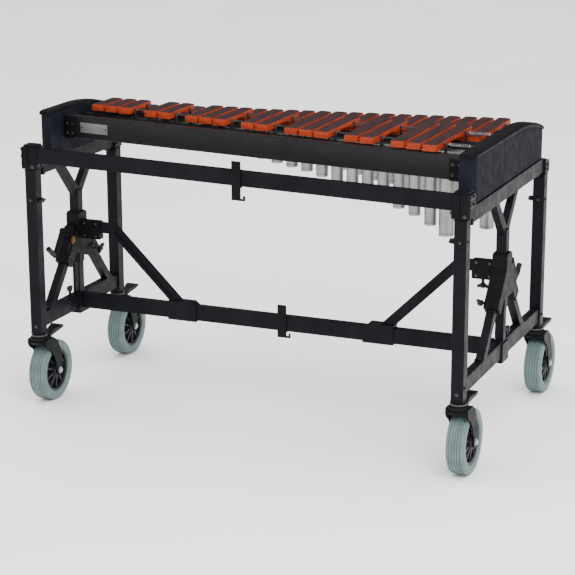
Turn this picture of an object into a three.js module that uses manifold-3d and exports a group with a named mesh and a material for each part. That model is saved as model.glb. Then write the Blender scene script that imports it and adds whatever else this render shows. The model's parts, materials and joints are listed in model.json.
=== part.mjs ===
// Concert xylophone on a height-adjustable field frame, in millimetres.
// +X runs from the high notes (left) to the low notes (right), -Y faces the audience (front), +Z is up.
// The frame tapers, so the left legs stand closer together than the right ones. Two end frames stand
// on four
// braked casters. Each has a gearbox whose crank climbs a toothed column and lifts the playing deck.
import * as THREE from "three";
import { mergeVertices } from "three/addons/utils/BufferGeometryUtils.js";
import Module from "manifold-3d";

const wasm = await Module();
wasm.setup();

// Driving dimensions
const GAP = 0.3; // clearance between pieces that touch
const WHEEL_RADIUS = 92;
const TYRE_WIDTH = 53;
const CASTER_TRAIL = 60; // the axle trails behind the swivel axis
const LEG_X = 677.85; // both end frames, from the middle of the instrument
const LEFT_LEG_Y = 250.2; // half the distance between the left legs
const RIGHT_LEG_Y = 379.7;
const TUBE = 35; // side of the square leg tube
const TUBE_WALL = 2.5;
const LEG_BOTTOM = 224;
const LEG_TOP = { front: 724, rear: 697 };
const LOW_RAIL = [240, 283]; // bottom and top of the lower end rails
const SPREADER = [241.5, 286];
const SPREADER_DEPTH = 30;
const END_RAIL = [704, 746];
const BRACKET_BOTTOM = 700; // of the end rail's rear bracket, on the rear leg
const FRONT_RAIL = [746, 789];
const FRONT_RAIL_DEPTH = 22;
const CLAMP = 52; // front corner clamp, square in plan
const CLAMP_HEIGHT = [727, 797];
const COLUMN = 25.2;
const STEM = 30;
const BLOCK_OUTER = 690;
const BLOCK_INNER = 648;
const BLOCK_BOTTOM = 749.3;
const BLOCK_TOP = 886;
const BAR_PITCH = 48.45;
const BAR_WIDTH = 39.5;
const BAR_THICKNESS = 20;
const NATURAL_COUNT = 26; // F4 to C8
const LOWEST_NATURAL_X = 563.8;
const NATURAL_BOTTOM = 834;
const ACCIDENTAL_BOTTOM = 866;
const NODE_FRACTION = 0.224; // a free bar's still point, from its end
const TUBE_RADIUS = 17.2; // resonator tubes
const LOW_TUBE_RADIUS = 21; // the lowest tube of each bank
const SPEED_OF_SOUND = 343000; // mm per second

// Outlines of the two rows of bars in plan: the front and rear ends run along straight lines.
const line = (x0, y0, x1, y1) => (x) => y0 + ((x - x0) * (y1 - y0)) / (x1 - x0);
const HIGHEST_NATURAL_X = LOWEST_NATURAL_X - (NATURAL_COUNT - 1) * BAR_PITCH;
const NATURAL = {
  front: line(LOWEST_NATURAL_X, 60, HIGHEST_NATURAL_X, 84),
  rear: line(LOWEST_NATURAL_X, 375, HIGHEST_NATURAL_X, 167),
  bottom: NATURAL_BOTTOM,
};
const ACCIDENTAL = {
  front: line(539.6, -250, -574.8, -33),
  rear: line(539.6, 72, -574.8, 92),
  bottom: ACCIDENTAL_BOTTOM,
};
const boardFront = line(-BLOCK_INNER, -112, BLOCK_INNER, -267);
const boardRear = line(-BLOCK_INNER, 205, BLOCK_INNER, 335);
const railFront = line(-LEG_X, -LEFT_LEG_Y - TUBE / 2, LEG_X, -RIGHT_LEG_Y - TUBE / 2);

// Materials
const coat = (color, roughness = 0.55) =>
  new THREE.MeshStandardMaterial({ color, roughness, metalness: 0.3 });
const frameBlack = coat(0x1b1c20);
const castBlack = coat(0x232428, 0.65);
const knobBlack = coat(0x0f0f10, 0.5);
const boardBlack = coat(0x141417, 0.35);
const blockGrey = coat(0x26272d, 0.6);
const aluminium = new THREE.MeshStandardMaterial({ color: 0x9a9a9c, roughness: 0.4, metalness: 0.9 });
const rosewood = new THREE.MeshStandardMaterial({ color: 0x8a3a26, roughness: 0.35, metalness: 0 });
const tyreGrey = new THREE.MeshStandardMaterial({ color: 0x82958f, roughness: 0.7, metalness: 0 });
const railWood = new THREE.MeshStandardMaterial({ color: 0x17181b, roughness: 0.5, metalness: 0 });

// Geometry helpers
function solid(geometry) {
  const plain = geometry.index ? geometry.toNonIndexed() : geometry.clone();
  plain.deleteAttribute("normal");
  plain.deleteAttribute("uv");
  const merged = mergeVertices(plain, 1e-4);
  const vertProperties = merged.attributes.position.array;
  const triVerts = new Uint32Array(merged.index.array);
  return new wasm.Manifold(new wasm.Mesh({ numProp: 3, vertProperties, triVerts }));
}

const join = (...solids) => solids.reduce((whole, each) => whole.add(each));
const cut = (whole, ...tools) => tools.reduce((left, tool) => left.subtract(tool), whole);

function box(x0, x1, y0, y1, z0, z1) {
  const geometry = new THREE.BoxGeometry(x1 - x0, y1 - y0, z1 - z0);
  return solid(geometry.translate((x0 + x1) / 2, (y0 + y1) / 2, (z0 + z1) / 2));
}

function extruded(outline, depth) {
  const shape = new THREE.Shape(outline.map(([u, v]) => new THREE.Vector2(u, v)));
  return new THREE.ExtrudeGeometry(shape, { depth, bevelEnabled: false });
}

// Prisms along each axis: the outline is in (Y, Z), (X, Z) or (X, Y).
function prismX(outline, x0, x1) {
  const turn = new THREE.Matrix4().set(0, 0, 1, x0, 1, 0, 0, 0, 0, 1, 0, 0, 0, 0, 0, 1);
  return solid(extruded(outline, x1 - x0).applyMatrix4(turn));
}

function prismY(outline, y0, y1) {
  const turn = new THREE.Matrix4().set(1, 0, 0, 0, 0, 0, -1, y1, 0, 1, 0, 0, 0, 0, 0, 1);
  return solid(extruded(outline, y1 - y0).applyMatrix4(turn));
}

const prismZ = (outline, z0, z1) => solid(extruded(outline, z1 - z0).translate(0, 0, z0));

// The four corners of a straight band of a given width between two points.
function band([u0, v0], [u1, v1], width) {
  const length = Math.hypot(u1 - u0, v1 - v0);
  const su = (-(v1 - v0) / length) * (width / 2);
  const sv = ((u1 - u0) / length) * (width / 2);
  return [
    [u0 + su, v0 + sv],
    [u0 - su, v0 - sv],
    [u1 - su, v1 - sv],
    [u1 + su, v1 + sv],
  ];
}

function rod(from, to, radius, sides = 12) {
  const start = new THREE.Vector3(...from);
  const reach = new THREE.Vector3(...to).sub(start);
  const geometry = new THREE.CylinderGeometry(radius, radius, reach.length(), sides);
  geometry.translate(0, reach.length() / 2, 0);
  const turn = new THREE.Quaternion().setFromUnitVectors(new THREE.Vector3(0, 1, 0), reach.normalize());
  return solid(geometry.applyQuaternion(turn).translate(...from));
}

// A ring turned about the X axis, from (radius, x) corners.
function turnedX(profile) {
  const points = profile.map(([radius, x]) => new THREE.Vector2(radius, x));
  const geometry = new THREE.LatheGeometry([...points, points[0]], 24);
  return solid(geometry.rotateZ(-Math.PI / 2));
}

const object = new THREE.Group();
// The front and rear wheels are the furthest points, so this centres the part.
object.position.y = -CASTER_TRAIL;

function place(name, shape, material, parent = object) {
  const mesh = shape.getMesh();
  const geometry = new THREE.BufferGeometry();
  geometry.setAttribute("position", new THREE.BufferAttribute(new Float32Array(mesh.vertProperties), 3));
  geometry.setIndex(new THREE.BufferAttribute(new Uint32Array(mesh.triVerts), 1));
  geometry.computeVertexNormals();
  const node = new THREE.Mesh(geometry, material);
  node.name = name;
  parent.add(node);
  return node;
}

// A square tube of the given side standing along Z, open at both ends.
function uprightTube(side, wall, z0, z1) {
  const half = side / 2;
  const bore = half - wall;
  return cut(box(-half, half, -half, half, z0, z1), box(-bore, bore, -bore, bore, z0 - 1, z1 + 1));
}

// Legs
function leg(top) {
  const half = TUBE / 2;
  const bore = half - TUBE_WALL;
  const plug = 10; // thickness of the closed foot that the caster screws into
  const outside = box(-half, half, -half, half, LEG_BOTTOM, top);
  return cut(outside, box(-bore, bore, -bore, bore, LEG_BOTTOM + plug, top + 1));
}

const LEG_SLIDER_BOTTOM = 480;
const legSlider = (top) => uprightTube(TUBE - 2 * TUBE_WALL - 2 * GAP, 2.2, LEG_SLIDER_BOTTOM, top);

// A wing knob on a screw along +X, starting at the origin.
const KNOB_HEIGHT = { left_front: 632, left_rear: 632, right_front: 662, right_rear: 617 };
function wingKnob() {
  const screw = rod([0, 0, 0], [14, 0, 0], 5, 12);
  const wings = box(8, 16, -15, 15, -4, 4);
  const rims = box(10, 14, -17, 17, -6, 6);
  return join(screw, wings, rims);
}

// Casters: the swivel axis is the origin's Z axis
const CASTER_HEAD = [205, LEG_BOTTOM - GAP];
const FORK_INNER = 28;
const FORK_OUTER = 32.5;
const AXLE_RADIUS = 5.8;
function casterFork() {
  const axleEnd = FORK_OUTER + 5;
  const cheek = [
    [-15, 205],
    [38, 205],
    [CASTER_TRAIL + 13, WHEEL_RADIUS + 6],
    [CASTER_TRAIL + 7, WHEEL_RADIUS - 13],
    [CASTER_TRAIL - 7, WHEEL_RADIUS - 13],
    [CASTER_TRAIL - 14, WHEEL_RADIUS + 6],
    [-15, 184],
  ];
  return join(
    rod([0, 0, CASTER_HEAD[0] - 2], [0, 0, CASTER_HEAD[1]], 20, 12),
    box(-FORK_OUTER, FORK_OUTER, -15, 38, 188, 206),
    prismX(cheek, -FORK_OUTER, -FORK_INNER),
    prismX(cheek, FORK_INNER, FORK_OUTER),
    rod([-axleEnd, CASTER_TRAIL, WHEEL_RADIUS], [axleEnd, CASTER_TRAIL, WHEEL_RADIUS], AXLE_RADIUS, 12),
  );
}

function casterWheel() {
  const half = TYRE_WIDTH / 2;
  const hub = FORK_INNER - 0.6;
  const shoulder = 7; // rounding of the tread's edges
  const wheel = turnedX([
    [AXLE_RADIUS + 0.8, -hub],
    [20, -hub],
    [20, -8],
    [62, -8],
    [64, -half],
    [WHEEL_RADIUS - shoulder, -half],
    [WHEEL_RADIUS, -half + shoulder * 2],
    [WHEEL_RADIUS, half - shoulder * 2],
    [WHEEL_RADIUS - shoulder, half],
    [64, half],
    [62, 8],
    [20, 8],
    [20, hub],
    [AXLE_RADIUS + 0.8, hub],
  ]);
  return wheel.translate([0, CASTER_TRAIL, WHEEL_RADIUS]);
}

// Brake pedal: a wedge that rises from its pivot and widens to a fan-shaped tread.
const PEDAL_PIVOT = [46, 199];
function brakePedal() {
  const [y, z] = PEDAL_PIVOT;
  const side = [
    [y, z - 3],
    [y + 64, z + 15],
    [y + 64, z + 23],
    [y + 60, z + 23],
    [y + 58, z + 19],
    [y + 18, z + 18],
    [y, z + 5],
  ];
  const plan = [
    [-10, y],
    [10, y],
    [12, y + 20],
    [21, y + 64],
    [-21, y + 64],
    [-12, y + 20],
  ];
  const tread = prismX(side, -21, 21).intersect(prismZ(plan, z - 10, z + 30));
  return join(rod([-13, y, z], [13, y, z], 6, 12), tread);
}

// Lower frame
function lowEndRail(legY) {
  const end = legY - TUBE / 2 - GAP;
  const [z0, z1] = LOW_RAIL;
  const rail = join(box(-12.5, 12.5, -end, end, z0, z1), box(-17, 20.5, -30, 30, z0 - 14, z1));
  return cut(rail, box(-10, 10, -end - 1, end + 1, z0 + 2.5, z1 - 2.5));
}

function spreaderBar() {
  const end = LEG_X - 20.5 - GAP;
  const half = SPREADER_DEPTH / 2;
  const [z0, z1] = SPREADER;
  const bore = box(-end - 1, end + 1, -half + 2.5, half - 2.5, z0 + 2.5, z1 - 2.5);
  return cut(box(-end, end, -half, half, z0, z1), bore);
}

// Diagonal brace: a sleeve round the spreader, a sloping bar with a channel along one face, and a stub
// into the
// gearbox bracket, towards +X.
const STUB = [483, 515];
const BRACE_DEPTH = 16;
function diagonalBrace() {
  const half = SPREADER_DEPTH / 2;
  const [z0, z1] = SPREADER;
  const sleeve = [
    [268, z0 - 4],
    [362, z0 - 4],
    [362, z1 + 9.8],
    [284, z1 + 9.8],
    [268, z1 - 4],
  ];
  const slope = [
    [315.5, z1 + 5],
    [359, z1 + 5],
    [555.1, STUB[0]],
    [575, STUB[0]],
    [575, STUB[1]],
    [544.6, STUB[1]],
  ];
  const channel = band([351, 309], [541, 494], 15);
  return cut(
    join(
      prismY(sleeve, -half - 4, half + 4),
      prismY(slope, -BRACE_DEPTH / 2, BRACE_DEPTH / 2),
      box(573, 632, -BRACE_DEPTH / 2, BRACE_DEPTH / 2, ...STUB),
    ),
    box(267, 363, -half - GAP, half + GAP, z0 - GAP, z1 + GAP),
    prismY(channel, BRACE_DEPTH / 2 - 5, BRACE_DEPTH / 2 + 1),
  );
}

// Toothed column with its A-braces, in the plane of an end frame. The groove holds the rack.
const FOOT = [LOW_RAIL[1] + GAP, LOW_RAIL[1] + GAP + 4];
const BRACE_SLOPE = 0.83; // sideways per unit of drop
const BRACE_LENGTH = Math.hypot(BRACE_SLOPE, 1);
const BRACE_SIDE = 24;
const braceY = (z) => 90 + (396 - z) * BRACE_SLOPE;
function columnFrame() {
  const half = COLUMN / 2;
  const pieces = [
    box(-half, half, -half, half, FOOT[0], 600),
    box(-half, half, -205, 205, ...FOOT),
  ];
  for (const side of [-1, 1]) {
    const top = 448;
    const low = FOOT[0] - 40;
    const outline = band([side * braceY(low), low], [side * braceY(top), top], BRACE_SIDE);
    pieces.push(prismX(outline, -BRACE_SIDE / 2, BRACE_SIDE / 2));
  }
  const belowFoot = box(-50, 50, -300, 300, 0, FOOT[0]);
  const groove = box(-6, 6, -half - 1, -half + 5, FOOT[1] + 4, 601);
  return cut(join(...pieces), belowFoot, groove);
}

// Gearbox: a forked casting that holds the column and the braces, with a bracket towards +X for the
// diagonal brace
// and the crank drive on its -Y arm. Along and across are the directions of that arm in the (Y, Z) plane.
const ALONG = [-BRACE_SLOPE / BRACE_LENGTH, -1 / BRACE_LENGTH];
const ACROSS = [-1 / BRACE_LENGTH, BRACE_SLOPE / BRACE_LENGTH];
const armPoint = (along, across) => [
  -45 + along * ALONG[0] + across * ACROSS[0],
  450.2 + along * ALONG[1] + across * ACROSS[1],
];
const CRANK_ALONG = -10;
const CRANK_HUB = [56, 68]; // across
const BRACKET = [462, 518.5]; // bottom and top of the bracket that holds the diagonal brace
const CRANK_REACH = 84;
function gearbox() {
  const arm = 19;
  const sleeveEnd = [90 + arm / BRACE_LENGTH, 396 + (arm * BRACE_SLOPE) / BRACE_LENGTH];
  const sleeveInner = [90 - arm / BRACE_LENGTH, 396 - (arm * BRACE_SLOPE) / BRACE_LENGTH];
  const web = 420;
  const webY = sleeveInner[0] - (web - sleeveInner[1]) * BRACE_SLOPE;
  const half = [
    [18, 545],
    [26, 538],
    [26, sleeveEnd[1] + (sleeveEnd[0] - 26) / BRACE_SLOPE],
    sleeveEnd,
    sleeveInner,
    [webY, web],
  ];
  const outline = [...half, ...half.map(([y, z]) => [-y, z]).reverse()];
  const cover = [
    armPoint(-60, -18),
    armPoint(58, -18),
    armPoint(58, 22),
    armPoint(22, 36),
    armPoint(-38, 36),
    armPoint(-60, 20),
  ];
  const boss = (across) => [0, ...armPoint(CRANK_ALONG, across)];
  const body = join(
    prismX(outline, -22, 22),
    prismX(cover, -18, 18),
    rod(boss(20), boss(CRANK_HUB[0] - GAP), 11, 20),
    box(20, 84.85, -13, 13, ...BRACKET),
  );
  const holes = [
    box(-STEM / 2 - GAP, STEM / 2 + GAP, -STEM / 2 - GAP, STEM / 2 + GAP, web - 1, 546),
    box(40, 86, -BRACE_DEPTH / 2 - GAP, BRACE_DEPTH / 2 + GAP, STUB[0] - GAP, STUB[1] + GAP),
  ];
  for (const side of [-1, 1]) {
    const outline = band([side * braceY(380), 380], [side * braceY(451), 451], BRACE_SIDE + 2 * GAP);
    const reach = BRACE_SIDE / 2 + GAP;
    holes.push(prismX(outline, -reach, reach));
  }
  return cut(body, ...holes);
}

function crank() {
  const at = (along, across) => [0, ...armPoint(CRANK_ALONG + along, across)];
  const bar = band(armPoint(CRANK_ALONG - 10, 64), armPoint(CRANK_ALONG + CRANK_REACH + 8, 64), 8);
  return join(
    rod(at(0, CRANK_HUB[0]), at(0, CRANK_HUB[1] + 4), 10, 20),
    prismX(bar, -7, 7),
    rod(at(CRANK_REACH, 62), at(CRANK_REACH, 116), 3.2, 10),
  );
}

function crankGrip() {
  const at = (across) => [0, ...armPoint(CRANK_ALONG + CRANK_REACH, across)];
  return cut(rod(at(68 + GAP), at(114), 8.5, 16), rod(at(60), at(117), 3.7, 20));
}

// A T-handled screw hanging from the bracket.
const BRACE_KNOB_X = 55;
function braceKnob() {
  const top = BRACKET[0] - GAP;
  return join(
    rod([BRACE_KNOB_X, 0, top - 24], [BRACE_KNOB_X, 0, top], 5, 12),
    box(BRACE_KNOB_X - 17, BRACE_KNOB_X + 17, -4.5, 4.5, top - 27, top - 18),
  );
}

// Lifting frame
function yoke() {
  const half = STEM / 2;
  const stem = [385, 612]; // the bottom and top of the hollow part
  const top = END_RAIL[0] - GAP;
  const right = [
    [half, 594],
    [112, top],
    [78, top],
  ];
  const outline = [...right, [0, 619], ...right.map(([y, z]) => [-y, z]).reverse()];
  const bore = COLUMN / 2 + GAP;
  return cut(
    join(box(-half, half, -half, half, ...stem), prismX(outline, -10.5, 10.5)),
    box(-bore, bore, -bore, bore, stem[0] - 1, stem[1] - 6),
  );
}

function endRail(legY) {
  const [z0, z1] = END_RAIL;
  const front = -legY + CLAMP / 2 + 10 + GAP;
  const bracketFront = legY - 26;
  const tube = cut(
    box(-15, 15, front, bracketFront + 1, z0, z1),
    box(-12.5, 12.5, front - 1, bracketFront - 20, z0 + 2.5, z1 - 2.5),
  );
  const bracket = [
    [bracketFront, BRACKET_BOTTOM],
    [legY + 19, BRACKET_BOTTOM],
    [legY + 19, 728],
    [legY + 14, 736],
    [legY - 14, z1 - 4],
    [bracketFront, z1],
  ];
  const rearGusset = [
    [bracketFront - 46, z0 + 1],
    [bracketFront - 22, 693],
    [bracketFront + 4, 684],
    [bracketFront + 4, z0 + 1],
  ];
  return join(tube, prismX(bracket, -21, 21), prismX(rearGusset, -5, 5));
}

function cornerClamp(legY) {
  const half = CLAMP / 2;
  const [z0, z1] = CLAMP_HEIGHT;
  const rounded = [
    [-half + 7, -half],
    [half - 7, -half],
    [half, -half + 7],
    [half, half],
    [-half, half],
    [-half, -half + 7],
  ];
  const dome = rounded.map(([x, y]) => [x * 0.78, y * 0.78]);
  const grooves = [
    box(-2, 2, -half - 1, -half + 3, z0 + 8, z1 - 10),
    box(-half - 1, -half + 3, -2, 2, z0 + 8, z1 - 10),
    box(half - 3, half + 1, -2, 2, z0 + 8, z1 - 60),
  ];
  const body = join(
    prismZ(rounded, z0, z1 - 6),
    prismZ(dome, z1 - 7, z1),
    box(-20, 20, half - 1, half + 10, 702, 772),
  );
  return cut(body, ...grooves).translate([0, -legY, 0]);
}

// A long beam between two X values whose front face follows a line in plan.
function planBeam(frontLine, x0, x1, depth, z0, z1) {
  const outline = [
    [x0, frontLine(x0)],
    [x1, frontLine(x1)],
    [x1, frontLine(x1) + depth],
    [x0, frontLine(x0) + depth],
  ];
  return prismZ(outline, z0, z1);
}

function frontRail() {
  const end = LEG_X - CLAMP / 2 - GAP;
  const [z0, z1] = FRONT_RAIL;
  const wall = 2.5;
  const boreFront = (x) => railFront(x) + wall;
  const boreDepth = FRONT_RAIL_DEPTH - 2 * wall;
  const bore = planBeam(boreFront, -end - 1, end + 1, boreDepth, z0 + wall, z1 - wall);
  return cut(planBeam(railFront, -end, end, FRONT_RAIL_DEPTH, z0, z1), bore);
}

// Cover hook: a clip plate that wraps a rail from the front, with a hook. The rail's front face is at
// Y = 0.
function hookPlate(z0, z1, railZ, depth) {
  const [low, high] = railZ;
  return join(
    box(-14, 14, -4 - GAP, -GAP, z0, z1),
    box(-14, 14, -4 - GAP, depth, high + GAP, high + GAP + 4),
    box(-14, 14, -4 - GAP, depth, low - GAP - 4, low - GAP),
    box(10, 26, -4 - GAP, 4, z0, z0 + 5),
    box(22, 26, -4 - GAP, 4, z0, z0 + 14),
  );
}

// Playing deck
const capTop = (y, flat, rear) => BLOCK_TOP - (y < flat ? 0 : 44 * ((y - flat) / (rear - flat)) ** 2);

// An end block for the +X end: rounded outer corners, a top that curves down at the rear, and a domed cap.
function endBlock(front, rear, flat) {
  const planOutline = (grow, inset) => {
    const shape = new THREE.Shape();
    const radius = 26;
    const outer = BLOCK_OUTER + grow;
    shape.moveTo(BLOCK_INNER + inset, front - grow);
    shape.absarc(outer - radius, front - grow + radius, radius, -Math.PI / 2, 0);
    shape.absarc(outer - radius, rear + grow - radius, radius, 0, Math.PI / 2);
    shape.lineTo(BLOCK_INNER + inset, rear + grow);
    return shape.getPoints(5).map((point) => [point.x, point.y]);
  };
  // The cap's curve over the falling part, lowered by a drop.
  const steps = 9;
  const capCurve = (drop) =>
    [...Array(steps + 1).keys()].map((i) => {
      const y = flat + ((rear + 10 - flat) * i) / steps;
      return [y, capTop(y, flat, rear) - drop];
    });
  // Everything from the block's bottom up to the lowered cap.
  const solidBelow = (drop) => [
    [front - 10, BLOCK_BOTTOM],
    [front - 10, BLOCK_TOP - drop],
    ...capCurve(drop),
    [rear + 10, BLOCK_BOTTOM],
  ];
  // A sheet that follows the lowered cap.
  const sheetThickness = 8;
  const sheet = (drop) => [
    [front - 10, BLOCK_TOP - drop - sheetThickness],
    [front - 10, BLOCK_TOP - drop],
    ...capCurve(drop),
    ...capCurve(drop + sheetThickness).reverse(),
  ];
  const layer = (grow, inset, sideOutline) =>
    prismZ(planOutline(grow, inset), BLOCK_BOTTOM, BLOCK_TOP + 1).intersect(
      prismX(sideOutline, BLOCK_INNER - 1, BLOCK_OUTER + 10),
    );
  const pads = [front + 50, rear - 70].map((y) =>
    box(664, 690, y - 20, y + 20, END_RAIL[1] + GAP, BLOCK_BOTTOM + 1),
  );
  const body = layer(0, 0, solidBelow(10));
  const lip = layer(4, 0, sheet(5));
  const cap = layer(-5, 5, sheet(0));
  return join(body, lip, cap, ...pads);
}

// The left block has a pocket for the end of the highest natural bar and its rails.
function leftEndBlock() {
  const block = endBlock(-189, 232, -35).mirror([1, 0, 0]);
  return cut(block, box(-672.5, -BLOCK_INNER + 1, 62, 180, 765, BLOCK_TOP + 10));
}

// Notes: naturals are numbered from the lowest, and a raised bar sits between two naturals a whole
// tone apart.
const SCALE = [0, 2, 4, 5, 7, 9, 11];
const naturalNote = (k) => 60 + 12 * Math.floor((k + 3) / 7) + SCALE[(k + 3) % 7];
const naturalX = (k) => LOWEST_NATURAL_X - k * BAR_PITCH;
const raisedX = (k) => naturalX(k) - BAR_PITCH / 2;
const hasRaised = (k) => naturalNote(k + 1) - naturalNote(k) === 2;
const quarterWave = (note) => SPEED_OF_SOUND / (4 * 440 * 2 ** ((note - 69) / 12));
const naturals = [...Array(NATURAL_COUNT).keys()];
const gaps = naturals.slice(0, -1);
const NATURAL_KEYS = naturals.map((k) => ({ x: naturalX(k), note: naturalNote(k), sounds: true }));
const RAISED_KEYS = gaps
  .map((k) => ({ x: raisedX(k), note: (naturalNote(k) + naturalNote(k + 1)) / 2, sounds: hasRaised(k) }))
  .slice(0, -1);

// Where a row's bars are hung: the front and rear lines of still points.
const hangLine = (row, fraction) => (x) => row.front(x) + (row.rear(x) - row.front(x)) * fraction;

function bar(row, x) {
  const y0 = row.front(x);
  const length = row.rear(x) - y0;
  const z0 = row.bottom;
  const z1 = z0 + BAR_THICKNESS;
  const arch = 7;
  const outline = [
    [y0, z0],
    [y0 + length * 0.27, z0],
    [y0 + length * 0.38, z0 + arch],
    [y0 + length * 0.62, z0 + arch],
    [y0 + length * 0.73, z0],
    [y0 + length, z0],
    [y0 + length, z1],
    [y0, z1],
  ];
  return prismX(outline, x - BAR_WIDTH / 2, x + BAR_WIDTH / 2);
}

// The bars of a row on their two cords.
function barRow(row, keys) {
  const sounding = keys.filter((key) => key.sounds);
  const low = sounding[0].x + BAR_WIDTH / 2 + 12;
  const high = sounding.at(-1).x - BAR_WIDTH / 2 - 2;
  const middle = row.bottom + BAR_THICKNESS / 2;
  const cords = [NODE_FRACTION, 1 - NODE_FRACTION].map((fraction) => {
    const at = hangLine(row, fraction);
    return rod([high, at(high), middle], [low, at(low), middle], 1.8, 4);
  });
  return join(...sounding.map((key) => bar(row, key.x)), ...cords);
}

// A wooden rail with a post in every gap between neighbouring bars.
function postRail(row, keys, fraction, end) {
  const at = hangLine(row, fraction);
  const thickness = 8;
  const top = row.bottom - 14;
  const rail = planBeam((x) => at(x) - thickness / 2, end, BLOCK_INNER - GAP, thickness, top - 30, top);
  const postTop = row.bottom + BAR_THICKNESS / 2 - 2.4;
  const places = [...keys.map((key) => key.x + BAR_PITCH / 2), keys.at(-1).x - BAR_PITCH / 2];
  const inside = places.filter((x) => x > end + 5);
  return join(rail, ...inside.map((x) => rod([x, at(x), top - 1], [x, at(x), postTop], 2.4, 4)));
}

// Resonators: one closed tube under each key, a quarter wave long, held by two carrier strips.
function resonatorBank(row, keys) {
  const centre = hangLine(row, 0.5);
  const mouth = row.bottom - 24;
  const wall = 1.3;
  const radius = (key) => (key === keys[0] ? LOW_TUBE_RADIUS : TUBE_RADIUS);
  const floor = (key) => row.bottom - 35 - quarterWave(key.note);
  const upright = (key, z0, z1, r) => rod([key.x, centre(key.x), z0], [key.x, centre(key.x), z1], r, 6);
  const sleeves = keys.map((key) => upright(key, floor(key), mouth, radius(key)));
  const bores = keys.map((key) => upright(key, floor(key) + 1.5, mouth + 1, radius(key) - wall));
  const low = BLOCK_INNER - GAP;
  const strips = [-18.6, 16.2].map((offset) =>
    planBeam((x) => centre(x) + offset, -low, low, 2.4, mouth - 16, mouth - 1),
  );
  return cut(join(...sleeves, ...strips), ...bores);
}

// Assembly
const ends = [
  { side: "left", x: -LEG_X, legY: LEFT_LEG_Y, turn: 0 },
  { side: "right", x: LEG_X, legY: RIGHT_LEG_Y, turn: Math.PI },
];

for (const { side, x, legY, turn } of ends) {
  // A group whose +X points to the middle of the instrument, whichever end it is at.
  const end = new THREE.Group();
  end.position.x = x;
  end.rotation.z = turn;
  object.add(end);
  place(`${side}_low_end_rail`, lowEndRail(legY), frameBlack, end);
  place(`${side}_column_frame`, columnFrame(), frameBlack, end);
  place(`${side}_gearbox`, gearbox(), castBlack, end);
  place(`${side}_crank`, crank(), castBlack, end);
  place(`${side}_crank_grip`, crankGrip(), knobBlack, end);
  place(`${side}_brace_knob`, braceKnob(), knobBlack, end);
  place(`${side}_yoke`, yoke(), frameBlack, end);
  const diagonal = place(`${side}_diagonal_brace`, diagonalBrace(), frameBlack);
  diagonal.rotation.z = turn + Math.PI;

  // The end rail and its clamp always have the clamp at the front.
  place(`${side}_end_rail`, endRail(legY), frameBlack).position.x = x;
  place(`${side}_corner_clamp`, cornerClamp(legY), castBlack).position.x = x;

  for (const [corner, y] of [
    ["front", -legY],
    ["rear", legY],
  ]) {
    const post = new THREE.Group();
    post.position.set(x, y, 0);
    object.add(post);
    const sliderTop = corner === "front" ? CLAMP_HEIGHT[0] - GAP : BRACKET_BOTTOM - GAP;
    const name = `${side}_${corner}`;
    place(`${name}_leg`, leg(LEG_TOP[corner]), frameBlack, post);
    place(`${name}_leg_slider`, legSlider(sliderTop), frameBlack, post);
    const knob = place(`${name}_leg_knob`, wingKnob(), knobBlack, post);
    const inward = x < 0 ? 1 : -1;
    knob.position.set(inward * (TUBE / 2 + GAP), 0, KNOB_HEIGHT[name]);
    knob.rotation.z = turn;
    place(`${name}_caster_fork`, casterFork(), castBlack, post);
    place(`${name}_caster_wheel`, casterWheel(), tyreGrey, post);
    place(`${name}_brake_pedal`, brakePedal(), castBlack, post);
  }
}

place("spreader_bar", spreaderBar(), frameBlack);
place("front_rail", frontRail(), frameBlack);

const HOOK_X = 13;
const lowerHook = place("lower_cover_hook", hookPlate(222, 322, SPREADER, 8), castBlack);
lowerHook.position.set(HOOK_X, -SPREADER_DEPTH / 2, 0);
const upperHook = place("upper_cover_hook", hookPlate(706, 816, FRONT_RAIL, 8), castBlack);
upperHook.position.set(HOOK_X, railFront(HOOK_X), 0);
upperHook.rotation.z = Math.atan2(railFront(1) - railFront(0), 1);

place("right_end_block", endBlock(-325, 362, 80), blockGrey);
place("left_end_block", leftEndBlock(), blockGrey);

const boardEnd = BLOCK_INNER - GAP;
place("front_board", planBeam(boardFront, -boardEnd, boardEnd, 18, 797, 863.5), boardBlack);
place("rear_board", planBeam(boardRear, -boardEnd, boardEnd, 18, 770, 828), boardBlack);

const rows = [
  { name: "natural", row: NATURAL, keys: NATURAL_KEYS, railEnd: -672 },
  { name: "accidental", row: ACCIDENTAL, keys: RAISED_KEYS, railEnd: -boardEnd },
];
for (const { name, row, keys, railEnd } of rows) {
  place(`${name}_front_post_rail`, postRail(row, keys, NODE_FRACTION, railEnd), railWood);
  place(`${name}_rear_post_rail`, postRail(row, keys, 1 - NODE_FRACTION, railEnd), railWood);
  place(`${name}_resonators`, resonatorBank(row, keys), aluminium);
  place(`${name}_bars`, barRow(row, keys), rosewood);
}

export default object;
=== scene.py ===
"""Looks of the concert xylophone on its field frame, for Blender 4.5.

Lengths are in millimetres and become metres where a mesh is made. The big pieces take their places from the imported
frame, and the details on them are set by numbers here. In an end frame's own coordinates +X points to the middle of
the instrument, and the origin is on the toothed column's axis.
"""
import json
import math

import bmesh
import bpy
from mathutils import Matrix, Vector


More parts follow.
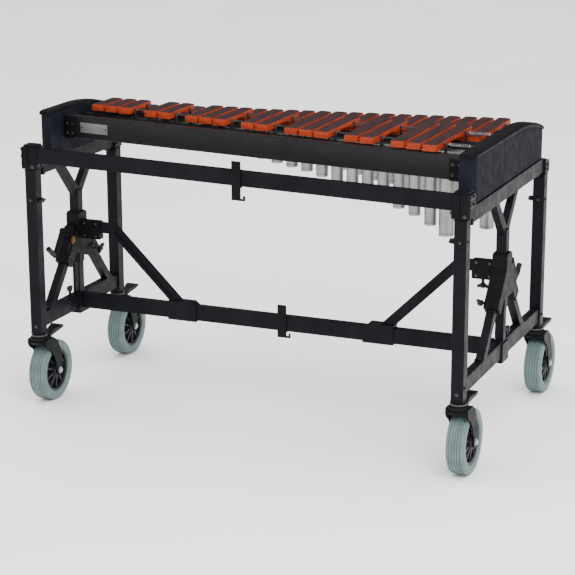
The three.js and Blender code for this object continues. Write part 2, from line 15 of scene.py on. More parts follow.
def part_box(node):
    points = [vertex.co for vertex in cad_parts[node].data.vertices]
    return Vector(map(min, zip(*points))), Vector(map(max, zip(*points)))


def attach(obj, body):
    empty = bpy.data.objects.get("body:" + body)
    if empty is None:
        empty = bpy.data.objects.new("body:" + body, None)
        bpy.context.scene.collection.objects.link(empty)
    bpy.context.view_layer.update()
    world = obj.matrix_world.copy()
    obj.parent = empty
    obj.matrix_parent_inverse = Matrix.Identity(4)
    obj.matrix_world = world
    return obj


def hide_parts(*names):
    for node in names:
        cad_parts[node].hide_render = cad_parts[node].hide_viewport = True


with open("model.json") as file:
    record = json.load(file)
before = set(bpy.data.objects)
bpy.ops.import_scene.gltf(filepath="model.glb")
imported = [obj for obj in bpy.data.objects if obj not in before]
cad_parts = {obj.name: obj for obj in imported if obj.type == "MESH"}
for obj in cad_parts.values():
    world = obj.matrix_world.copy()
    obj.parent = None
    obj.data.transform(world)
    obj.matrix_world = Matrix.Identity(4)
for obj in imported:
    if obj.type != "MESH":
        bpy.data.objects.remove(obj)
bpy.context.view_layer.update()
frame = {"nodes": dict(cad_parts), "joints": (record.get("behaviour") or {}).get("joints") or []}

MM = 0.001
SIDES = ("left", "right")
CORNERS = [(side, corner) for side in SIDES for corner in ("front", "rear")]
JOINTS = {joint["name"]: joint for joint in frame["joints"]}


# ---- Places, from the frame ----


def box_mm(node):
    """Lowest and highest corner of a CAD node, in millimetres."""
    low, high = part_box(node)
    return low / MM, high / MM


def middle_mm(node):
    low, high = box_mm(node)
    return (low + high) / 2


def near_x(node, x, reach):
    """A CAD node's corners within reach of an X value, in millimetres."""
    corners = [vertex.co / MM for vertex in frame["nodes"][node].data.vertices]
    return [corner for corner in corners if abs(corner.x - x) < reach]


def front_face(node):
    """Y of a long node's front face, as a function of X."""
    low, high = box_mm(node)
    start, end = (min(corner.y for corner in near_x(node, x, 1)) for x in (low.x, high.x))
    return lambda x: start + (end - start) * (x - low.x) / (high.x - low.x)


def joint_place(name):
    """A joint's place in millimetres."""
    return Vector(JOINTS[name]["pos_m"]) / MM


def end_frame(side):
    """From an end frame's own coordinates to the row frame."""
    turn = 0 if side == "left" else math.pi
    origin = middle_mm(f"{side}_column_frame")
    return Matrix.Translation((origin.x, origin.y, 0)) @ Matrix.Rotation(turn, 4, "Z")


# ---- Mesh building ----


def across(direction):
    """Two unit vectors square to a direction and to each other."""
    forward = Vector(direction).normalized()
    side = forward.orthogonal().normalized()
    return side, forward.cross(side)


def aimed(origin, forward, up_hint):
    """A matrix whose Z points forward and whose X leans to the hint."""
    z = Vector(forward).normalized()
    x = (Vector(up_hint) - z * z.dot(Vector(up_hint))).normalized()
    turn = Matrix((x, z.cross(x), z)).transposed()
    return Matrix.Translation(origin) @ turn.to_4x4()


def circle(centre, direction, radius, sides):
    side, up = across(direction)
    turns = [2 * math.pi * i / sides for i in range(sides)]
    return [Vector(centre) + radius * (side * math.cos(t) + up * math.sin(t)) for t in turns]


def arc(centre, radius, first, last, steps):
    """Points of a plane arc, angles in degrees."""
    angles = [math.radians(first + (last - first) * i / steps) for i in range(steps + 1)]
    return [(centre[0] + radius * math.cos(a), centre[1] + radius * math.sin(a)) for a in angles]


class Shape:
    """A mesh in the making. Points go through self.turn on their way in."""

    def __init__(self, turn=None):
        self.mesh = bmesh.new()
        self.turn = turn or Matrix.Identity(4)

    def loft(self, rings, loop=False):
        """Quads between rings of points. An open loft is capped; a loop joins its last ring to its first."""
        made = [[self.mesh.verts.new((self.turn @ Vector(point)) * MM) for point in ring] for ring in rings]
        pairs = list(zip(made, made[1:]))
        if loop:
            pairs.append((made[-1], made[0]))
        for low, high in pairs:
            for i in range(len(low)):
                j = (i + 1) % len(low)
                self.mesh.faces.new((low[i], low[j], high[j], high[i]))
        if not loop:
            self.mesh.faces.new(list(reversed(made[0])))
            self.mesh.faces.new(made[-1])
        return self

    def prism(self, outline, axis, start, end):
        """An outline in (Y, Z), (X, Z) or (X, Y) pushed along the axis that is left."""
        place = {
            "X": lambda u, v, w: (w, u, v),
            "Y": lambda u, v, w: (u, w, v),
            "Z": lambda u, v, w: (u, v, w),
        }[axis]
        return self.loft([[place(u, v, w) for u, v in outline] for w in (start, end)])

    def box(self, x0, x1, y0, y1, z0, z1):
        return self.prism([(x0, y0), (x1, y0), (x1, y1), (x0, y1)], "Z", z0, z1)

    def rod(self, start, end, radius, sides=20):
        reach = Vector(end) - Vector(start)
        return self.loft([circle(start, reach, radius, sides), circle(end, reach, radius, sides)])

    def turned(self, profile, origin, direction, sides=32, loop=False):
        """A profile of (radius, distance) points turned about a line."""
        forward = Vector(direction).normalized()
        rings = [circle(Vector(origin) + forward * along, forward, r, sides) for r, along in profile]
        return self.loft(rings, loop)

    def tube(self, path, radius, sides=8):
        points = [Vector(point) for point in path]
        side = across(points[1] - points[0])[0]
        turns = [2 * math.pi * k / sides for k in range(sides)]
        rings = []
        for i, point in enumerate(points):
            ahead = points[min(i + 1, len(points) - 1)]
            behind = points[max(i - 1, 0)]
            forward = (ahead - behind).normalized()
            side = (side - forward * side.dot(forward)).normalized()
            up = forward.cross(side)
            rings.append([point + radius * (side * math.cos(t) + up * math.sin(t)) for t in turns])
        return self.loft(rings)

    def bolt(self, centre, direction, radius=4.5):
        """A socket-head bolt on a washer."""
        top = radius * 0.9 + 1
        profile = [
            (radius * 1.5, -0.2),
            (radius * 1.5, 1),
            (radius, 1.2),
            (radius, top - 0.7),
            (radius - 0.7, top),
            (radius * 0.5, top),
            (radius * 0.5, top - radius * 0.5),
        ]
        return self.turned(profile, centre, direction, 18)


SMOOTH_ANGLE = math.radians(35)


def add_object(name, shape):
    bmesh.ops.recalc_face_normals(shape.mesh, faces=shape.mesh.faces)
    for face in shape.mesh.faces:
        face.smooth = True
    for edge in shape.mesh.edges:
        edge.smooth = len(edge.link_faces) == 2 and edge.calc_face_angle() < SMOOTH_ANGLE
    mesh = bpy.data.meshes.new(name)
    shape.mesh.to_mesh(mesh)
    shape.mesh.free()
    made = bpy.data.objects.new(name, mesh)
    bpy.context.scene.collection.objects.link(made)
    return made


def add_bevel(made, width, segments=2):
    bevel = made.modifiers.new("Eased edges", "BEVEL")
    bevel.width = width * MM
    bevel.segments = segments
    bevel.limit_method = "ANGLE"
    bevel.angle_limit = math.radians(30)
    bevel.harden_normals = True


def piece(name, shape, material, body, bevel=0.0, segments=2, replaces=()):
    """Turns a shape into a piece of the object, riding on a CAD body."""
    made = add_object(name, shape)
    made.data.materials.append(material)
    if bevel:
        add_bevel(made, bevel, segments)
    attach(made, body)
    if replaces:
        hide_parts(*replaces)
    return made


def dress(node, material, bevel=1.2, segments=2):
    """Keeps a CAD node, with its facets joined, its edges eased and a finish of its own."""
    made = frame["nodes"][node]
    made.data.materials.clear()
    made.data.materials.append(material)
    if made.data.has_custom_normals:
        made.data.attributes.remove(made.data.attributes["custom_normal"])
    for face in made.data.polygons:
        face.use_smooth = True
    weld = made.modifiers.new("Join corners", "WELD")
    weld.merge_threshold = 0.01 * MM
    flat = made.modifiers.new("Join facets", "DECIMATE")
    flat.decimate_type = "DISSOLVE"
    flat.angle_limit = math.radians(1)
    add_bevel(made, bevel, segments)
    return made


# ---- Finishes ----


class Finish:
    """A procedural material. Texture scales are in repeats per metre of the piece."""

    def __init__(self, name, rough=0.5, metal=0.0, coat=0.0, gloss=0.5):
        self.material = bpy.data.materials.new(name)
        self.material.use_nodes = True
        self.tree = self.material.node_tree
        self.shader = self.tree.nodes["Principled BSDF"]
        self.shader.inputs["Roughness"].default_value = rough
        self.shader.inputs["Metallic"].default_value = metal
        self.shader.inputs["Coat Weight"].default_value = coat
        self.shader.inputs["Specular IOR Level"].default_value = gloss
        self.shader.inputs["Coat Roughness"].default_value = 0.2
        self.place = self.tree.nodes.new("ShaderNodeTexCoord").outputs["Object"]

    def add(self, kind, settings=None, **inputs):
        """A node with its inputs set to values or linked to other nodes' outputs."""
        node = self.tree.nodes.new(f"ShaderNode{kind}")
        for key, value in (settings or {}).items():
            setattr(node, key, value)
        for key, value in inputs.items():
            socket = node.inputs[int(key[1:])] if key[0] == "i" and key[1:].isdigit() else node.inputs[key]
            if isinstance(value, bpy.types.NodeSocket):
                self.tree.links.new(value, socket)
            else:
                socket.default_value = value
        return node

    def noise(self, scale, detail=3.0, stretch=(1, 1, 1)):
        moved = self.add("Mapping", Vector=self.place, Scale=stretch)
        return self.add("TexNoise", Vector=moved.outputs[0], Scale=scale, Detail=detail).outputs["Fac"]

    def limits(self, value, low, high, to_low=0.0, to_high=1.0):
        """Stretches a value between two limits, cut off outside them."""
        node = self.add("MapRange", Value=value)
        for key, setting in (("From Min", low), ("From Max", high), ("To Min", to_low), ("To Max", to_high)):
            node.inputs[key].default_value = setting
        return node.outputs["Result"]

    def math(self, operation, first, second):
        return self.add("Math", {"operation": operation}, i0=first, i1=second).outputs[0]

    def blend(self, factor, first, second):
        """A colour between two others."""
        node = self.add("Mix", {"data_type": "RGBA"}, i0=factor, i6=rgba(first), i7=rgba(second))
        return node.outputs[2]

    def colour(self, value):
        self.tree.links.new(value, self.shader.inputs["Base Color"])

    def rough(self, value):
        self.tree.links.new(value, self.shader.inputs["Roughness"])

    def bump(self, height, depth, strength=1.0):
        """Depth in millimetres."""
        node = self.add("Bump", Height=height, Strength=strength, Distance=depth * MM)
        self.tree.links.new(node.outputs[0], self.shader.inputs["Normal"])

    def edges(self, radius):
        """1 near the corners of the piece, 0 on its flats."""
        soft = self.add("Bevel", {"samples": 4}, Radius=radius * MM).outputs[0]
        straight = self.add("NewGeometry").outputs["Normal"]
        dot = self.add("VectorMath", {"operation": "DOT_PRODUCT"}, i0=soft, i1=straight).outputs["Value"]
        return self.limits(dot, 0.98, 0.86)

    def upward(self):
        """1 on faces that look up, 0 on sides and undersides."""
        normal = self.add("NewGeometry").outputs["Normal"]
        height = self.add("SeparateXYZ", Vector=normal).outputs["Z"]
        return self.limits(height, 0.3, 0.9)


def rgba(value):
    return value if isinstance(value, bpy.types.NodeSocket) else (*value, 1.0)


def coated(name, dark, light, worn, grain, depth, rough, gloss=0.08):
    """Paint with a fine grain, soft blotches, dust on top and lighter corners."""
    finish = Finish(name, gloss=gloss)
    blotch = finish.limits(finish.noise(14, 5), 0.35, 0.7)
    fleck = finish.limits(finish.noise(grain * 0.7, 2), 0.62, 0.72)
    base = finish.blend(blotch, dark, light)
    specked = finish.blend(finish.math("MULTIPLY", fleck, 0.18), base, worn)
    rub = finish.math("MULTIPLY", finish.edges(1.3), finish.limits(finish.noise(60, 4), 0.4, 0.7))
    rubbed = finish.blend(finish.math("MULTIPLY", rub, 0.6), specked, worn)
    dust = finish.math("MULTIPLY", finish.upward(), finish.limits(finish.noise(9, 6), 0.35, 0.9, 0.0, 0.08))
    finish.colour(finish.blend(dust, rubbed, worn))
    finish.rough(finish.limits(finish.noise(35, 5), 0.3, 0.7, rough - 0.09, rough + 0.09))
    finish.bump(finish.noise(grain, 2), depth)
    return finish.material


def wood():
    """Oiled rosewood, with painted shade darkening the figured tops and painted light brightening the sawn sides and
    ends. The grain runs along Y.
    """
    finish = Finish("rosewood", gloss=0.16)
    chance = finish.add("ObjectInfo").outputs["Random"]
    apart = finish.math("MULTIPLY", chance, 7.0)
    shift = finish.add("CombineXYZ", X=apart, Y=apart, Z=apart).outputs[0]
    moved = finish.add("VectorMath", {"operation": "ADD"}, i0=finish.place, i1=shift).outputs[0]
    finish.place = moved
    figure = finish.noise(26, 4, (9, 0.55, 9))
    pores = finish.noise(420, 3, (2.2, 0.06, 2.2))
    streak = finish.limits(figure, 0.36, 0.66)
    # Painted light and shade: faces that look up get a dark shaded tone, and the sides and ends get a bright lit
    # tone of the same wood.
    top = finish.blend(streak, (0.017, 0.0062, 0.0078), (0.042, 0.0108, 0.0112))
    side = finish.blend(streak, (0.17, 0.013, 0.003), (0.33, 0.040, 0.006))
    # The painted lit tone of the sides, varied at random from bar to bar.
    own = finish.blend(finish.limits(chance, 0.0, 1.0, 0.0, 0.4), side, (0.20, 0.022, 0.008))
    # Painted shade on the tops, painted light on the sides and ends.
    lit_sides_shaded_top = finish.blend(finish.upward(), own, top)
    dark_pore = finish.limits(pores, 0.60, 0.72, 0.0, 0.45)
    finish.colour(finish.blend(dark_pore, lit_sides_shaded_top, (0.03, 0.008, 0.006)))
    finish.rough(finish.limits(pores, 0.3, 0.7, 0.42, 0.58))
    finish.bump(pores, 0.12, 0.6)
    return finish.material


def brushed(name, colour, rough, stretch):
    """Bare metal with fine scratches along the stretched direction."""
    finish = Finish(name, metal=0.9)
    scratch = finish.noise(900, 2, stretch)
    cloud = finish.limits(finish.noise(18, 4), 0.3, 0.75)
    darker = tuple(channel * 0.72 for channel in colour)
    stained = finish.blend(cloud, darker, colour)
    fine = finish.limits(scratch, 0.4, 0.65, 0.0, 0.25)
    finish.colour(finish.blend(fine, stained, darker))
    finish.rough(finish.limits(scratch, 0.3, 0.7, rough - 0.08, rough + 0.1))
    finish.bump(scratch, 0.05, 0.5)
    return finish.material


def rubber():
    finish = Finish("tyre_rubber", gloss=0.3)
    cloud = finish.limits(finish.noise(30, 6), 0.35, 0.7)
    clean = finish.blend(cloud, (0.078, 0.118, 0.115), (0.115, 0.160, 0.155))
    scuff = finish.limits(finish.noise(160, 5), 0.60, 0.74, 0.0, 0.5)
    finish.colour(finish.blend(scuff, clean, (0.10, 0.12, 0.11)))
    finish.rough(finish.limits(finish.noise(80, 3), 0.3, 0.7, 0.38, 0.58))
    finish.bump(finish.noise(700, 3), 0.12)
    return finish.material


def moulded(name, colour, rough, grain=1400):
    """Moulded plastic with a faint spark-eroded grain."""
    finish = Finish(name, gloss=0.25)
    cloud = finish.limits(finish.noise(40, 4), 0.35, 0.7)
    lighter = tuple(channel * 1.8 + 0.004 for channel in colour)
    base = finish.blend(cloud, colour, lighter)
    rub = finish.math("MULTIPLY", finish.edges(0.8), 0.35)
    finish.colour(finish.blend(rub, base, (0.045, 0.045, 0.05)))
    finish.rough(finish.limits(finish.noise(90, 3), 0.3, 0.7, rough - 0.08, rough + 0.08))
    finish.bump(finish.noise(grain, 2), 0.06)
    return finish.material


def lacquered():
    """Black lacquer on board: a long soft grain under a glossy, slightly rippled surface."""
    finish = Finish("board_lacquer", gloss=0.25)
    fibre = finish.noise(90, 4, (0.06, 1, 2.2))
    base = finish.blend(finish.limits(fibre, 0.35, 0.7), (0.0036, 0.0037, 0.0045), (0.007, 0.0072, 0.009))
    rub = finish.math("MULTIPLY", finish.edges(1.5), finish.limits(finish.noise(50, 4), 0.4, 0.7, 0.0, 0.5))
    finish.colour(finish.blend(rub, base, (0.05, 0.05, 0.056)))
    finish.rough(finish.limits(finish.noise(25, 6), 0.3, 0.75, 0.3, 0.46))
    finish.bump(finish.noise(330, 2), 0.04)
    return finish.material


def braided():
    """Twisted black cord."""
    finish = Finish("braided_cord", rough=0.8)
    moved = finish.add("Mapping", Vector=finish.place, Rotation=(0.0, 0.0, 0.7))
    twist = finish.add("TexWave", Vector=moved.outputs[0], Scale=420.0, Distortion=2.0).outputs["Fac"]
    finish.colour(finish.blend(twist, (0.012, 0.012, 0.013), (0.045, 0.045, 0.048)))
    finish.bump(twist, 0.3)
    return finish.material


# Each coat: name, dark and light paint, worn paint, grain per metre, grain depth, roughness, gloss.
FRAME = coated(
    "powder_coat", (0.0032, 0.0033, 0.0046), (0.0055, 0.0057, 0.0082), (0.045, 0.046, 0.058), 1100, 0.16, 0.45
)
CAST = coated(
    "cast_coat", (0.003, 0.0031, 0.0038), (0.0052, 0.0054, 0.0066), (0.04, 0.04, 0.046), 700, 0.3, 0.5
)
BLOCK = coated(
    "block_coat", (0.0065, 0.0067, 0.0105), (0.0095, 0.0098, 0.015), (0.03, 0.03, 0.041), 900, 0.22, 0.6, 0.03
)
LID = coated(
    "lid_coat", (0.003, 0.0031, 0.0039), (0.0055, 0.0057, 0.007), (0.03, 0.03, 0.035), 900, 0.2, 0.5, 0.06
)
KNOB = moulded("knob_nylon", (0.004, 0.004, 0.0045), 0.4)
HUB = moulded("hub_nylon", (0.009, 0.0095, 0.012), 0.34, 900)
BOARD = lacquered()
WOOD = wood()
STAIN = moulded("stained_rail", (0.005, 0.005, 0.006), 0.55, 500)
TUBE = brushed("resonator_metal", (0.33, 0.33, 0.335), 0.4, (1.0, 1.0, 0.03))
CHROME = brushed("zinc_plate", (0.55, 0.55, 0.57), 0.26, (1.0, 1.0, 0.4))
STEEL = brushed("blackened_steel", (0.075, 0.075, 0.082), 0.34, (1.0, 1.0, 0.4))
BRASS = brushed("gear_brass", (0.24, 0.14, 0.045), 0.38, (1.0, 0.5, 1.0))
RUBBER = rubber()
CORD = braided()


# ---- Keyboard ----

BAR_PITCH = 48.45
BAR_WIDTH = 39.5
STILL_POINT = 0.224
SCALE = (0, 2, 4, 5, 7, 9, 11)
SPEED_OF_SOUND = 343000
TUBE_RADIUS = 17.2
CORD_RADIUS = 1.8


def natural_note(k):
    return 60 + 12 * ((k + 3) // 7) + SCALE[(k + 3) % 7]


class Row:
    """A row of bars, measured from its CAD node."""

    def __init__(self, name, keys):
        self.name = name
        self.keys = keys
        self.node = f"{name}_bars"
        low, high = box_mm(self.node)
        self.bottom, self.top = low.z, high.z
        self.middle = (low.z + high.z) / 2
        self.sounding = [key for key in keys if key["sounds"]]
        self.low_x, self.high_x = self.sounding[0]["x"], self.sounding[-1]["x"]
        self.low_span, self.high_span = self.measure(self.low_x), self.measure(self.high_x)

    def measure(self, x):
        ys = [corner.y for corner in near_x(self.node, x, BAR_WIDTH / 2 + 0.5)]
        return min(ys), max(ys)

    def at(self, x, fraction):
        """Y of a fraction of the bar at X."""
        share = (x - self.high_x) / (self.low_x - self.high_x)
        front = self.high_span[0] + (self.low_span[0] - self.high_span[0]) * share
        rear = self.high_span[1] + (self.low_span[1] - self.high_span[1]) * share
        return front + (rear - front) * fraction

    def gaps(self):
        ends = [key["x"] + BAR_PITCH / 2 for key in self.keys]
        return [*ends, self.keys[-1]["x"] - BAR_PITCH / 2]


LOWEST_X = box_mm("natural_bars")[1].x - 12 - BAR_WIDTH / 2


def make_rows():
    naturals = [{"x": LOWEST_X - BAR_PITCH * k, "note": natural_note(k), "sounds": True} for k in range(26)]
    raised = []
    for k in range(24):
        here, following = natural_note(k), natural_note(k + 1)
        x = LOWEST_X - BAR_PITCH * (k + 0.5)
        raised.append({"x": x, "note": (here + following) / 2, "sounds": following - here == 2})
    return Row("natural", naturals), Row("accidental", raised)


def bar_shape(row, x):
    """A bar with a crowned top, rounded upper edges and a long arch underneath."""
    front, rear = row.at(x, 0), row.at(x, 1)
    half, length = BAR_WIDTH / 2, rear - front
    shape = Shape()
    rings = []
    # End rings step in for an eased end; inner rings carry the arch.
    steps = [0.0, 0.004, 0.012] + [0.05 * i for i in range(1, 20)] + [0.988, 0.996, 1.0]
    for share in steps:
        reach = abs(share - 0.5)
        arch = 7 * (0.5 + 0.5 * math.cos(math.pi * min(reach / 0.24, 1)))
        ease = 1.5 if share in (0.0, 1.0) else 0.4 if share in (0.004, 0.996) else 0.0
        top, wide, low = row.top - ease, half - ease, row.bottom + arch + ease * 0.6
        upper = [
            (wide, top - 4),
            (wide - 0.5, top - 2.2),
            (wide - 1.8, top - 1.2),
            (wide - 4, top - 0.6),
            (wide * 0.4, top),
        ]
        lower = [(-wide + 1, low), (wide - 1, low), (wide, low + 1)]
        outline = lower + upper + [(-px, pz) for px, pz in reversed(upper)] + [(-wide, low + 1)]
        rings.append([(x + px, front + length * share, pz) for px, pz in outline])
    return shape.loft(rings)


def make_bars(row):
    for number, key in enumerate(row.sounding, 1):
        x = key["x"]
        name = f"{row.name}_bar_{number:02d}"
        piece(name, bar_shape(row, x), WOOD, "deck", replaces=(row.node,))
    bushings = Shape()
    for key in row.sounding:
        for fraction in (STILL_POINT, 1 - STILL_POINT):
            y = row.at(key["x"], fraction)
            for way in (-1, 1):
                face = key["x"] + way * BAR_WIDTH / 2
                profile = [(2.2, -1), (4, -1), (4, 0.5), (3.4, 1), (2.2, 1)]
                bushings.turned(profile, (face, y, row.middle), (way, 0, 0), 12, loop=True)
    piece(f"{row.name}_cord_bushings", bushings, CORD, "deck")
    for place, fraction in (("front", STILL_POINT), ("rear", 1 - STILL_POINT)):
        make_cord(row, place, fraction)
        make_posts(row, place, fraction)


def make_cord(row, place, fraction):
    """The bars' cord, sagging a little between posts, with a spring at its low end."""
    low = row.low_x + BAR_WIDTH / 2 + 12
    high = row.high_x - BAR_WIDTH / 2 - 2
    count = 160
    path = []
    for i in range(count + 1):
        x = high + (low - high) * i / count
        sag = 0.4 * math.sin(math.pi * (x - row.low_x) / BAR_PITCH) ** 2
        path.append((x, row.at(x, fraction), row.middle - sag))
    name = f"{row.name}_{place}_cord"
    piece(name, Shape().tube(path, CORD_RADIUS, 10), CORD, "deck", replaces=(row.node,))
    y = row.at(low, fraction)
    end = box_mm("right_end_block")[0].x - 3
    coil = []
    turns, steps = 11, 14
    first, last = low + 3, end - 9
    for i in range(turns * steps + 1):
        angle = 2 * math.pi * i / steps
        x = first + (last - first) * i / (turns * steps)
        coil.append((x, y + 3.6 * math.cos(angle), row.middle + 3.6 * math.sin(angle)))
    spring = Shape().tube([(low - 3, y, row.middle), *coil, (end, y, row.middle)], 0.9, 6)
    spring.turned([(2.2, 0), (5, 0), (5, 2), (3, 6), (2.2, 6)], (end + 3, y, row.middle), (-1, 0, 0), 16)
    piece(f"{row.name}_{place}_spring", spring, CHROME, "deck")


def make_posts(row, place, fraction):
    """The stained rail, and in each gap a post in a rubber foot with an open hook for the cord."""
    node = f"{row.name}_{place}_post_rail"
    low, high = box_mm(node)
    rail_top = row.bottom - 14
    ends = (low.x, high.x)
    rail = Shape()
    rings = []
    for x in ends:
        y = row.at(x, fraction)
        rings.append([(x, y - 4, low.z), (x, y + 4, low.z), (x, y + 4, rail_top), (x, y - 4, rail_top)])
    rail.loft(rings)
    piece(f"{node}_wood", rail, STAIN, "deck", bevel=1.4, segments=3, replaces=(node,))
    posts = Shape()
    feet = Shape()
    for x in row.gaps():
        if x < low.x + 5:
            continue
        y = row.at(x, fraction)
        top = row.middle
        posts.rod((x, y, rail_top - 4), (x, y, top - 4.5), 2.3, 12)
        # The hook passes under the cord and rises on both sides of it.
        bend = arc((0, 0), 3.9, 205, 385, 10)
        posts.tube([(x, y + u, top + v) for u, v in [(-4.6, 5.0), *bend, (4.4, 4.6)]], 1.3, 8)
        sleeve = [
            (2.4, 0), (5.2, 0), (5.2, 3.4), (3.5, 5.6),
            (3.5, 11), (4.5, 12.6), (4.5, 15.4), (2.4, 16.4),
        ]
        feet.turned(sleeve, (x, y, rail_top), (0, 0, 1), 14)
    piece(f"{node}_posts", posts, CORD, "deck", replaces=(node,))
    piece(f"{node}_insulators", feet, KNOB, "deck")


def make_resonators(row):
    """One capped tube under each key, riveted between two carrier strips."""
    node = f"{row.name}_resonators"
    mouth = row.bottom - 24
    for number, key in enumerate(row.keys, 1):
        x = key["x"]
        frequency = 440 * 2 ** ((key["note"] - 69) / 12)
        length = SPEED_OF_SOUND / (4 * frequency) + 11
        radius = 21 if number == 1 else TUBE_RADIUS
        profile = [
            (1, 0.8),
            (radius - 3, 0),
            (radius - 0.8, 0.5),
            (radius, 2),
            (radius, 7),
            (radius - 0.7, 7.8),
            (radius - 0.7, 9),
            (radius, 9.8),
            (radius, length - 3),
            (radius + 0.5, length - 2),
            (radius + 0.5, length - 0.6),
            (radius, length),
            (radius - 1.3, length),
            (radius - 1.3, 12),
            (1, 11),
        ]
        tube = Shape().turned(profile, (x, row.at(x, 0.5), mouth - length), (0, 0, 1), 40)
        name = f"{row.name}_resonator_{number:02d}"
        piece(name, tube, TUBE, "deck", replaces=(node,))
    low, high = box_mm(node)
    for place, offset in (("front", -17.4), ("rear", 17.4)):
        strip = Shape()
        rings = []
        for x in (low.x, high.x):
            y = row.at(x, 0.5) + offset
            y0, y1 = y - 1.2, y + 1.2
            z0, z1 = mouth - 16, mouth - 1
            rings.append([(x, y0, z0), (x, y1, z0), (x, y1, z1), (x, y0, z1)])
        strip.loft(rings)
        way = 1 if offset > 0 else -1
        for key in row.keys:
            y = row.at(key["x"], 0.5) + offset + way * 1.1
            profile = [(2.6, 0), (2.6, 0.6), (1.6, 1.5), (0.4, 1.8)]
            strip.turned(profile, (key["x"], y, mouth - 8.5), (0, way, 0), 12)
        name = f"{row.name}_{place}_strip"
        piece(name, strip, TUBE, "deck", bevel=0.4, segments=1, replaces=(node,))


# ---- Deck ----

LEDGE = 765
CORNER_RADIUS = 26
BLOCK_HEIGHT = 136.7
CAP_DROP = 44
LIP = 4
SHIFT_Y = -60


def block_top(y, flat, high):
    """Height of an end block's cap: level in front, falling in a curve at the rear."""
    if y < flat:
        return high.z
    return high.z - CAP_DROP * ((y - flat) / (high.y - LIP - flat)) ** 2


def make_block(side, flat, pocket=None):
    """An end block: a rounded body and an overhanging lid that follows its falling top."""
    node = f"{side}_end_block"
    low, high = box_mm(node)
    front, rear = low.y + 4, high.y - 4
    way = 1 if side == "right" else -1
    inner = min(abs(low.x), abs(high.x))
    outer = max(abs(low.x), abs(high.x)) - 4
    bottom = high.z - BLOCK_HEIGHT

    def rim(y, first, last, reach):
        """How far out the plan reaches at Y, with round outer corners."""
        near = min(y - first, last - y)
        if near >= CORNER_RADIUS:
            return reach
        return reach - CORNER_RADIUS + math.sqrt(max(CORNER_RADIUS**2 - (CORNER_RADIUS - near) ** 2, 0))

    def steps(first, last):
        ends = [CORNER_RADIUS * (1 - math.cos(math.radians(15 * i))) for i in range(7)]
        inside = [first + CORNER_RADIUS + 15 * i for i in range(1, int((last - first - 55) / 15))]
        return [first + e for e in ends] + inside + [last - e for e in reversed(ends)]

    def pocket_depth(y):
        return pocket[2] if pocket and pocket[0] <= y <= pocket[1] else inner + 0.05

    places = steps(front, rear)
    if pocket:
        places = sorted(places + [pocket[0] - 0.01, pocket[0], pocket[1], pocket[1] + 0.01])
    body = []
    for y in places:
        out = rim(y, front, rear, outer)
        top = block_top(y, flat, high) - 10
        wall = pocket_depth(y)
        outline = [(inner, bottom), (out, bottom), (out, top), (wall, top), (wall, LEDGE), (inner, LEDGE)]
        body.append([(way * px, y, pz) for px, pz in outline])
    replaced = (node,)
    piece(f"{side}_block_body", Shape().loft(body), BLOCK, "deck", 1.5, 3, replaced)

    places = steps(front - 4, rear + 4)
    if pocket:
        places = sorted(places + [pocket[0] - 0.01, pocket[0], pocket[1], pocket[1] + 0.01])
    lid = []
    for y in places:
        out = rim(y, front - 4, rear + 4, outer + 4)
        top = block_top(y, flat, high)
        wall = pocket_depth(y)
        near = max(min(y - front + 4, rear + 4 - y) / 9, 0)
        crown = 5 * math.sqrt(max(1 - (1 - min(near, 1)) ** 2, 0))
        middle = top - 5 + crown
        outline = [
            (wall, top - 12.8),
            (out, top - 12.8),
            (out, top - 7),
            (out - 1.2, top - 5.4),
            (out - 5, top - 5 + crown * 0.55),
            (out - 10, middle),
            (wall + 6, middle),
            (wall + 1, top - 5.5 + crown * 0.5),
        ]
        lid.append([(way * max(px, wall + 0.5 * i / 8), y, pz) for i, (px, pz) in enumerate(outline)])
    piece(f"{side}_block_lid", Shape().loft(lid), LID, "deck", 0.8, 2, replaced)



def make_boards():
    """The boards, a blank badge plate, and the angle plates that hold it."""
    dress("front_board", BOARD, 2.2, 3)
    dress("rear_board", BOARD, 2.2, 3)
    low, high = box_mm("front_board")
    face = front_face("front_board")
    slope = Vector((1, face(1) - face(0), 0)).normalized()
    out = Vector((slope.y, -slope.x, 0))
    middle_z = (low.z + high.z) / 2
    x = low.x + 108
    turn = Matrix((slope, Vector((0, 0, 1)), out)).transposed().to_4x4()
    turn = Matrix.Translation((x, face(x), middle_z)) @ turn
    badge = Shape(turn).box(-48, 48, -15, 15, -0.2, 1.2)
    piece("badge_plate", badge, TUBE, "deck", 0.5, 2)
    screws = Shape(turn)
    for u in (-42, 42):
        screws.turned([(2.8, 1), (2.6, 1.8), (1.2, 2.2), (0.5, 2.2)], (u, 0, 0), (0, 0, 1), 16)
    piece("badge_screws", screws, STEEL, "deck")
    bolts = Shape()
    for x, width in ((high.x - 26, 42), (low.x + 24, 36)):
        place = Matrix.Translation((x, face(x), 0)) @ Matrix(
            (slope, -out, Vector((0, 0, 1)))
        ).transposed().to_4x4()
        plate = Shape(place)
        plate.box(-width / 2, width / 2, -2.6, 0.4, low.z - 2, high.z - 10)
        piece(f"board_plate_{'low' if x > 0 else 'high'}", plate, CAST, "deck", 0.8)
        bolts.turn = place
        for u in (-width / 4, width / 4):
            for z in (low.z + 14, high.z - 24):
                bolts.bolt((u, -2.6, z), (0, -1, 0), 3.2)
    piece("board_bolts", bolts, STEEL, "deck")


# ---- Casters ----


WHEEL_AXIS = (0, 60, 92)


